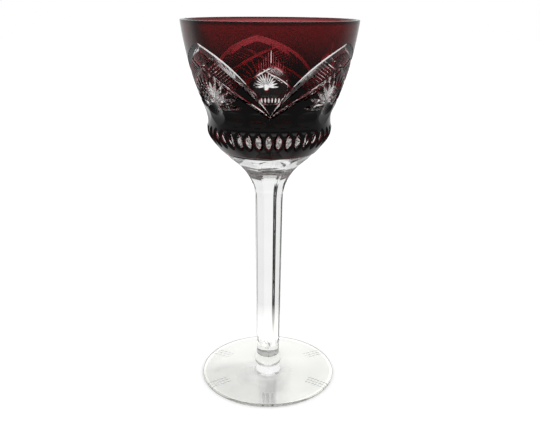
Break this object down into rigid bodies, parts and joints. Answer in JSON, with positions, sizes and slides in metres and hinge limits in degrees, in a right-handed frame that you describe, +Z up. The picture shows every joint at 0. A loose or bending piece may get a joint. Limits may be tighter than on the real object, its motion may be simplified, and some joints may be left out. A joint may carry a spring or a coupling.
{
  "type": "hock glass",
  "caption": "Tall stemmed wine glass: ruby-cased crystal bowl cut to the clear, on a clear fluted stem, a squashed bead and a thin round foot.",
  "frame": {"origin": "centre of the resting plane, on the glass's axis", "axes": "+Z up along the axis towards the rim; -Y is the front, where a round window of the cut pattern faces; +X is to the right seen from the front"},
  "size_m": [0.0853, 0.0854, 0.19],
  "materials": {
    "clear_crystal": "polished clear lead crystal",
    "ruby_glass": "polished deep ruby overlay, cut through with bright wheel cuts"
  },
  "bodies": {
    "root": {"clear_bowl": "clear_crystal", "ruby_rim": "ruby_glass", "ruby_waist": "ruby_glass", "stem": "clear_crystal", "bead": "clear_crystal", "foot": "clear_crystal", "ruby_band_1": "ruby_glass", "ruby_band_2": "ruby_glass", "ruby_band_3": "ruby_glass", "ruby_band_4": "ruby_glass", "ruby_band_5": "ruby_glass", "ruby_band_6": "ruby_glass", "ruby_diamond_1": "ruby_glass", "ruby_diamond_2": "ruby_glass", "ruby_diamond_3": "ruby_glass"}
  },
  "joints": []
}
